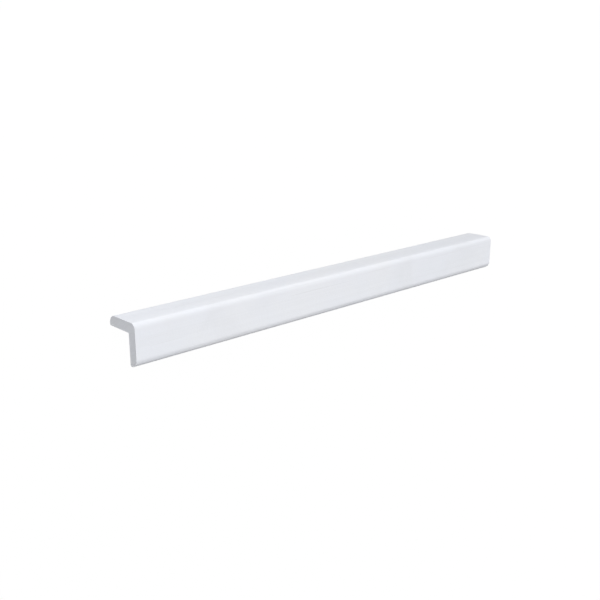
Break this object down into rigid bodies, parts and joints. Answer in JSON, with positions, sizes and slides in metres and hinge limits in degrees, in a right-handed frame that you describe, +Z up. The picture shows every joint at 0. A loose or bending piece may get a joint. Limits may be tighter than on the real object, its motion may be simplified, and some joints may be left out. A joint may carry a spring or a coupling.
{
  "type": "corner guard moulding",
  "caption": "Straight right-angle moulding with a rounded ridge and rounded leg tips, glued over an outside wall corner to protect it.",
  "frame": {"origin": "on the floor that both tips rest on, at the middle of the length, straight under the ridge", "axes": "+X along the moulding, +Z up through the ridge, leg A comes down towards +Y and leg B towards -Y"},
  "size_m": [0.247, 0.0238, 0.0155],
  "materials": {
    "white_pvc": "smooth white cellular PVC, satin skin with faint die lines along it, duller sawn ends"
  },
  "bodies": {
    "root": {"corner_guard": "white_pvc"}
  },
  "joints": []
}
